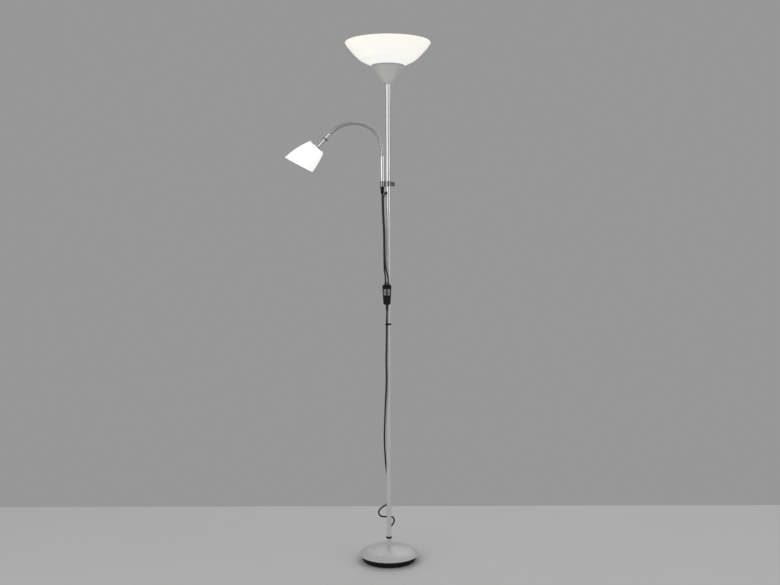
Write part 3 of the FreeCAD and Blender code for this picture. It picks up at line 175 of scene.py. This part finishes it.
OPAL = (0.55, 0.545, 0.53, 1)
RECIPES = {
    "foam": (plastic, dict(
        light=grey(0.05), dark=grey(0.03), rough=0.9, grain=900.0, depth=0.0002)),
    "black_plastic": (plastic, dict(
        light=(0.011, 0.011, 0.012), dark=(0.006, 0.006, 0.007), rough=0.5, grain=1500.0,
        depth=0.00003, gloss=0.12)),
    "iron": (metal, dict(
        light=grey(0.16), dark=grey(0.09), rough=0.6, grain=300.0, depth=0.0002)),
    "satin_nickel": (metal, dict(
        light=(0.72, 0.72, 0.715), dark=(0.66, 0.66, 0.655), rough=0.17, grain=90.0,
        stretch=(1, 1, 0.2), depth=0.0000003)),
    "head_silver": (metal, dict(
        light=(0.72, 0.72, 0.705), dark=(0.66, 0.66, 0.645), rough=0.34, grain=500.0,
        stretch=(1, 1, 0.06), metallic=0.5)),
    "base_silver": (metal, dict(
        light=(0.50, 0.495, 0.495), dark=(0.45, 0.445, 0.445), rough=0.46, grain=700.0,
        depth=0.000004, metallic=0.35)),
    "silver_paint": (metal, dict(
        light=(0.61, 0.615, 0.615), dark=(0.54, 0.545, 0.545), rough=0.36, grain=700.0,
        stretch=(1, 1, 0.05), depth=0.000002, metallic=0.45)),
    "zinc": (metal, dict(
        light=(0.62, 0.62, 0.60), dark=(0.50, 0.50, 0.49), rough=0.35, grain=400.0)),
    "white_holder": (plastic, dict(
        light=(0.80, 0.79, 0.75), dark=(0.76, 0.75, 0.71), rough=0.45, grain=1200.0,
        depth=0.00002)),
    "dark_metal": (metal, dict(
        light=(0.36, 0.36, 0.365), dark=(0.22, 0.22, 0.225), rough=0.18, grain=300.0,
        depth=0.000001)),
    "chrome": (metal, dict(
        light=(0.74, 0.74, 0.745), dark=(0.68, 0.68, 0.685), rough=0.14, grain=160.0,
        depth=0.0000005)),
    "hose_metal": (metal, dict(
        light=(0.52, 0.52, 0.51), dark=(0.42, 0.42, 0.41), rough=0.30, grain=500.0,
        depth=0.000002)),
    "black_gloss": (plastic, dict(
        light=(0.006, 0.006, 0.007), dark=(0.003, 0.003, 0.004), rough=0.14, grain=900.0,
        depth=0.000001, coat=0.12, gloss=0.3)),
    "black_rubber": (plastic, dict(
        light=grey(0.012), dark=grey(0.007), rough=0.45, grain=1600.0, depth=0.00002,
        gloss=0.4)),
    "cord_black": (plastic, dict(
        light=(0.009, 0.009, 0.010), dark=(0.005, 0.005, 0.006), rough=0.40, grain=1800.0,
        depth=0.00001, gloss=0.4)),
    "black_fabric": (plastic, dict(
        light=grey(0.03), dark=grey(0.015), rough=0.8, grain=2500.0, depth=0.0001)),
    "plated_pins": (metal, dict(
        light=(0.72, 0.68, 0.58), dark=(0.60, 0.56, 0.47), rough=0.2, grain=300.0)),
    "rocker_gloss": (plastic, dict(
        light=grey(0.22), dark=grey(0.15), rough=0.10, grain=900.0, depth=0.000001,
        coat=1.0, gloss=0.9)),
    "opal_bowl": (opal, dict(
        centre=(0, 0, 1.74), reach=(0.04, 0.15), bright=(1.0, 1.0, 0.99),
        edge=(0.93, 0.91, 0.80), tint=OPAL, strength=0.66)),
    "opal_shade": (opal, dict(
        centre=(-0.275, 0, 1.402), reach=(0.03, 0.10), bright=(1.0, 1.0, 0.985),
        edge=(0.96, 0.95, 0.90), tint=OPAL, strength=0.62)),
    "lamp_glass": (opal, dict(
        centre=(0, 0, 1.75), reach=(0.0, 1.0), bright=(1.0, 0.98, 0.92),
        edge=(1.0, 0.97, 0.90), tint=(0.85, 0.84, 0.80, 1), strength=1.0)),
}
LOOKS = {name: make(name, **settings) for name, (make, settings) in RECIPES.items()}

# pieces whose finish differs from the others in their slot
SPECIAL = {
    "head_cup": "head_silver",
    "base_cover": "base_silver",
    "pole_foot_ring": "silver_paint",
    "switch_rocker_reading": "rocker_gloss",
    "switch_rocker_bowl": "rocker_gloss",
}
slots = {entry["node"]: entry["material_slot"] for entry in frame["record"]["subparts"]}
for name, thing in nodes.items():
    thing.data.materials.clear()
    thing.data.materials.append(LOOKS[SPECIAL.get(name, slots[name])])


# ------------------------------------------------------------------ gooseneck hose
# Its centre line: a straight rise, a quarter turn, then the sweep down to the shade.
STEM = Vector((-20.0, 0, 1407.5))
RISE, NEAR, FAR, SWEEP = 17.5, 96.0, 112.0, math.radians(48.0)
QUARTER = NEAR * math.pi / 2
LENGTH = RISE + QUARTER + FAR * SWEEP
HINGES = [34.0 + 54.0 * i for i in range(4)]  # distances of the four hinges along it
RADIUS, RIB_HEIGHT, RIB_PITCH = 5.82, 0.07, 2.4
RINGS_PER_RIB = 4
SIDES = 28
ROOT_GAP, END_GAP = 0.3, 0.1  # left free at the stem and at the ferrule
LAP = 1.2  # how far the first two lengths reach past their hinge


def arc_point(radius, centre_height, turn):
    centre = STEM + Vector((-NEAR, 0, centre_height))
    return centre + Vector((math.cos(turn), 0, math.sin(turn))) * radius, turn + math.pi / 2


def hose_point(s):
    """Point and heading of the centre line at rest, in millimetres and radians."""
    if s <= RISE:
        return STEM + Vector((0, 0, s)), math.pi / 2
    s -= RISE
    if s <= QUARTER:
        return arc_point(NEAR, RISE, s / NEAR)
    return arc_point(FAR, RISE + NEAR - FAR, math.pi / 2 + (s - QUARTER) / FAR)


def ribbed(name, start, end):
    """Length of ribbed hose along the centre line between two distances."""
    count = max(2, round((end - start) / (RIB_PITCH / RINGS_PER_RIB)))
    mesh = bmesh.new()
    rings = []
    for i in range(count + 1):
        s = start + (end - start) * i / count
        point, heading = hose_point(s)
        across = Vector((math.sin(heading), 0, -math.cos(heading)))
        radius = RADIUS + RIB_HEIGHT * math.cos(2 * math.pi * s / RIB_PITCH)
        ring = []
        for k in range(SIDES):
            a = 2 * math.pi * k / SIDES
            place = point + (across * math.cos(a) + Vector((0, 1, 0)) * math.sin(a)) * radius
            ring.append(mesh.verts.new(place * MM))
        rings.append(ring)
    for low, high in zip(rings, rings[1:]):
        for k in range(SIDES):
            n = (k + 1) % SIDES
            mesh.faces.new((low[k], low[n], high[n], high[k]))
    mesh.faces.new(rings[0][::-1])
    mesh.faces.new(rings[-1])
    bmesh.ops.recalc_face_normals(mesh, faces=mesh.faces)
    data = bpy.data.meshes.new(name)
    mesh.to_mesh(data)
    mesh.free()
    data.shade_smooth()
    data.materials.append(LOOKS["hose_metal"])
    thing = bpy.data.objects.new(name, data)
    scene.collection.objects.link(thing)
    return thing


# The first hinge is a lap of two rigid lengths, because a length that bends there leaves its
# place at some poses. The three other lengths run from middle to middle of the links and are
# baked in place, on no body.
edges = HINGES + [LENGTH]
middles = [(a + b) / 2 for a, b in zip(edges, edges[1:])]
links = ["hose_link_1", "hose_link_2", "hose_link_3", "reading_head"]
first = ribbed("hose_root", ROOT_GAP, HINGES[0] + LAP)
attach(first, "arm")
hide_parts("gooseneck_1")
second = ribbed("hose_bend_1", HINGES[0] - LAP, middles[0])
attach(second, links[0])
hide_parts("gooseneck_1", "gooseneck_2")
for i in range(3):
    piece = ribbed("hose_bend_%d" % (i + 2), middles[i], middles[i + 1])
    near, far = hose_point(middles[i])[0] * MM, hose_point(middles[i + 1])[0] * MM
    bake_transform(piece)
    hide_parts("gooseneck_%d" % (i + 2), "gooseneck_%d" % (i + 3))
last = ribbed("hose_end", middles[3], LENGTH - END_GAP)
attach(last, "reading_head")
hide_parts("gooseneck_5")


# ------------------------------------------------------------------ cords
# Corners of each cord's route, in millimetres; a cord runs smoothly between them.
READING = [
    (-20.0, 0.0, 1276.4), (-20.0, 0.0, 1262.0), (-20.0, -0.4, 1248.0), (-18.6, -4.0, 1205.0),
    (-15.2, -8.6, 1150.0), (-14.8, -9.4, 1096.0), (-14.2, -10.0, 1045.0),
    (-13.4, -12.4, 1012.0), (-9.7, -17.8, 996.2), (-9.7, -17.8, 978.2)]
BOWL = [
    (-10.4, -10.4, 1278.8), (-17.1, -17.1, 1271.4), (-16.4, -15.2, 1238.0),
    (-15.0, -14.6, 1192.0), (-12.2, -14.8, 1146.0), (-12.0, -15.6, 1092.0),
    (-11.2, -16.0, 1043.0), (-7.6, -18.4, 1014.0), (-0.3, -17.8, 994.2), (-0.3, -17.8, 978.2)]
MAINS = [
    (-5.0, -17.8, 875.8), (-5.0, -17.8, 861.8), (-6.3, -10.8, 846.5), (-6.3, -10.8, 808.5),
    (-6.8, -12.0, 762.0), (-8.8, -10.2, 700.0), (-6.8, -11.6, 640.0), (-10.6, -8.4, 565.0),
    (-13.5, -4.0, 492.0), (-15.9, 1.0, 420.0), (-11.8, 7.6, 354.0), (-9.0, 11.0, 316.0),
    (-2.5, 13.4, 276.0), (-1.0, 14.4, 238.0), (-1.5, 14.4, 194.0), (-28.0, 10.5, 181.0),
    (-38.0, 10.5, 166.0), (-30.5, 11.5, 150.0), (-8.0, 15.2, 147.5), (8.0, 15.4, 149.5),
    (18.5, 14.0, 141.5), (17.6, 13.6, 127.0), (7.0, 13.4, 115.0), (0.0, 12.5, 98.0),
    (0.0, 12.5, 68.0), (1.2, 30.0, 55.5), (2.4, 56.0, 51.4), (2.0, 80.0, 45.0),
    (1.4, 100.0, 34.5), (1.6, 112.0, 24.5)]
HANK = [
    (4.0, 124.0, 12.0), (15.0, 131.2, 4.1), (51.5, 124.4, 3.5),
    (68.9, 115.1, 3.5), (72.9, 102.0, 3.5), (66.5, 90.0, 3.5), (53.5, 86.0, 3.5),
    (38.8, 93.7, 3.5), (20.2, 99.4, 3.5), (3.8, 101.2, 3.5), (-4.8, 111.8, 4.4),
    (-3.4, 125.4, 7.5), (7.2, 134.0, 9.6), (26.8, 131.9, 9.6), (51.5, 124.4, 9.6),
    (68.9, 115.1, 9.6), (72.9, 102.0, 9.6), (66.5, 90.0, 9.6), (53.5, 86.0, 9.6),
    (38.8, 93.7, 9.6), (20.2, 99.4, 9.6), (0.9, 102.2, 9.6), (-7.9, 103.6, 6.9),
    (-19.7, 101.3, 6.9)]

LAMP_CORD, MAINS_CORD = 2.7, 2.8  # radii
CORD_ORDER, CORD_STEPS, CORD_SIDES = 3, 10, 6


def lay_cord(name, points, radius):
    """Round cord along one open spline through the route's corners."""
    curve = bpy.data.curves.new(name, "CURVE")
    curve.dimensions = "3D"
    curve.bevel_depth = radius * MM
    curve.bevel_resolution = CORD_SIDES
    curve.resolution_u = CORD_STEPS
    curve.use_fill_caps = True
    line = curve.splines.new("NURBS")
    line.points.add(len(points) - 1)
    for spot, point in zip(line.points, points):
        spot.co = (*[v * MM for v in point], 1)
    line.order_u = CORD_ORDER
    line.use_endpoint_u = True
    curve.materials.append(LOOKS["cord_black"])
    thing = bpy.data.objects.new(name, curve)
    scene.collection.objects.link(thing)
    return thing


def mesh_of(thing):
    return bpy.data.meshes.new_from_object(
        thing.evaluated_get(bpy.context.evaluated_depsgraph_get()))


def as_tube(thing):
    """The same cord as a mesh, and the line it follows."""
    name, curve = thing.name, thing.data
    tube = mesh_of(thing)
    curve.bevel_depth = 0.0
    line = mesh_of(thing)
    path = [tuple(vertex.co) for vertex in line.vertices]
    bpy.data.meshes.remove(line)
    bpy.data.objects.remove(thing)
    bpy.data.curves.remove(curve)
    made = bpy.data.objects.new(name, tube)
    scene.collection.objects.link(made)
    tube.shade_smooth()
    return made, path


cord, path = as_tube(lay_cord("cord_to_reading_light", READING, LAMP_CORD))
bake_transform(cord)
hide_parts("reading_cord")
cord = lay_cord("cord_to_bowl", BOWL, LAMP_CORD)
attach(cord, "root")
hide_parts("bowl_cord")
cord = lay_cord("mains_lead", MAINS + HANK, MAINS_CORD)
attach(cord, "root")
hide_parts("mains_cord", "mains_cord_hank")


# ------------------------------------------------------------------ floor, light and camera
FLOOR_BACK = 0.668  # where the floor ends against the wall
FLOOR_SIZE = 14.0
FLOOR_DROP = 0.0004
FLOOR_GREY = (0.44, 0.44, 0.438)
FLOOR_CLOUD = 0.985
LAMP_TARGET = (0, 0, 0.9)
WORLD_LIGHT, WALL_SEEN = 0.66, 0.31  # the world as it lights the lamp, and as it is seen
PITCH_DOWN, ROLL = 2.625, 0.15  # degrees


def floor_paint():
    g = Graph("floor_paint")
    low = tuple(v * FLOOR_CLOUD for v in FLOOR_GREY)
    g.set(Base_Color=g.shades(g.noise(2.5), low, FLOOR_GREY), Roughness=0.75)
    return g.material


def soft_lamp(name, place, size, watts):
    data = bpy.data.lights.new(name, "AREA")
    data.shape = "RECTANGLE"
    data.size, data.size_y = size
    data.energy = watts
    thing = bpy.data.objects.new(name, data)
    scene.collection.objects.link(thing)
    thing.location = place
    heading = Vector(LAMP_TARGET) - Vector(place)
    thing.rotation_euler = heading.to_track_quat("-Z", "Y").to_euler()


bpy.ops.mesh.primitive_plane_add(
    size=FLOOR_SIZE, location=(0, FLOOR_BACK - FLOOR_SIZE / 2, -FLOOR_DROP))
floor = bpy.context.object
floor.name = "floor"
floor.data.materials.append(floor_paint())

soft_lamp("soft_left", (-2.4, -2.4, 2.2), (3.4, 3.2), 44)
soft_lamp("soft_right", (3.0, -1.7, 1.9), (1.7, 3.0), 27)
soft_lamp("soft_back", (0.6, 2.6, 2.8), (2.8, 1.8), 22)

world = bpy.data.worlds.new("studio")
scene.world = world
world.use_nodes = True
tree = world.node_tree
background = tree.nodes["Background"]
rays = tree.nodes.new("ShaderNodeLightPath")
seen = rays.outputs["Is Camera Ray"]
for kind in ("Is Glossy Ray", "Is Transmission Ray"):
    either = tree.nodes.new("ShaderNodeMath")
    either.operation = "MAXIMUM"
    tree.links.new(seen, either.inputs[0])
    tree.links.new(rays.outputs[kind], either.inputs[1])
    seen = either.outputs[0]
level = tree.nodes.new("ShaderNodeMapRange")
tree.links.new(seen, level.inputs["Value"])
level.inputs["To Min"].default_value = WORLD_LIGHT
level.inputs["To Max"].default_value = WALL_SEEN
tree.links.new(level.outputs["Result"], background.inputs["Strength"])
background.inputs["Color"].default_value = (1, 1, 1, 1)

camera = bpy.data.objects.new("camera", bpy.data.cameras.new("camera"))
scene.collection.objects.link(camera)
camera.data.sensor_width = 36.0
camera.data.lens = 43.80
camera.data.shift_y = -0.0128
camera.location = (0.0061, -3.2816, 1.1234)
camera.rotation_euler = (math.radians(90 - PITCH_DOWN), math.radians(ROLL), 0)
scene.camera = camera
scene.view_settings.view_transform = "Standard"
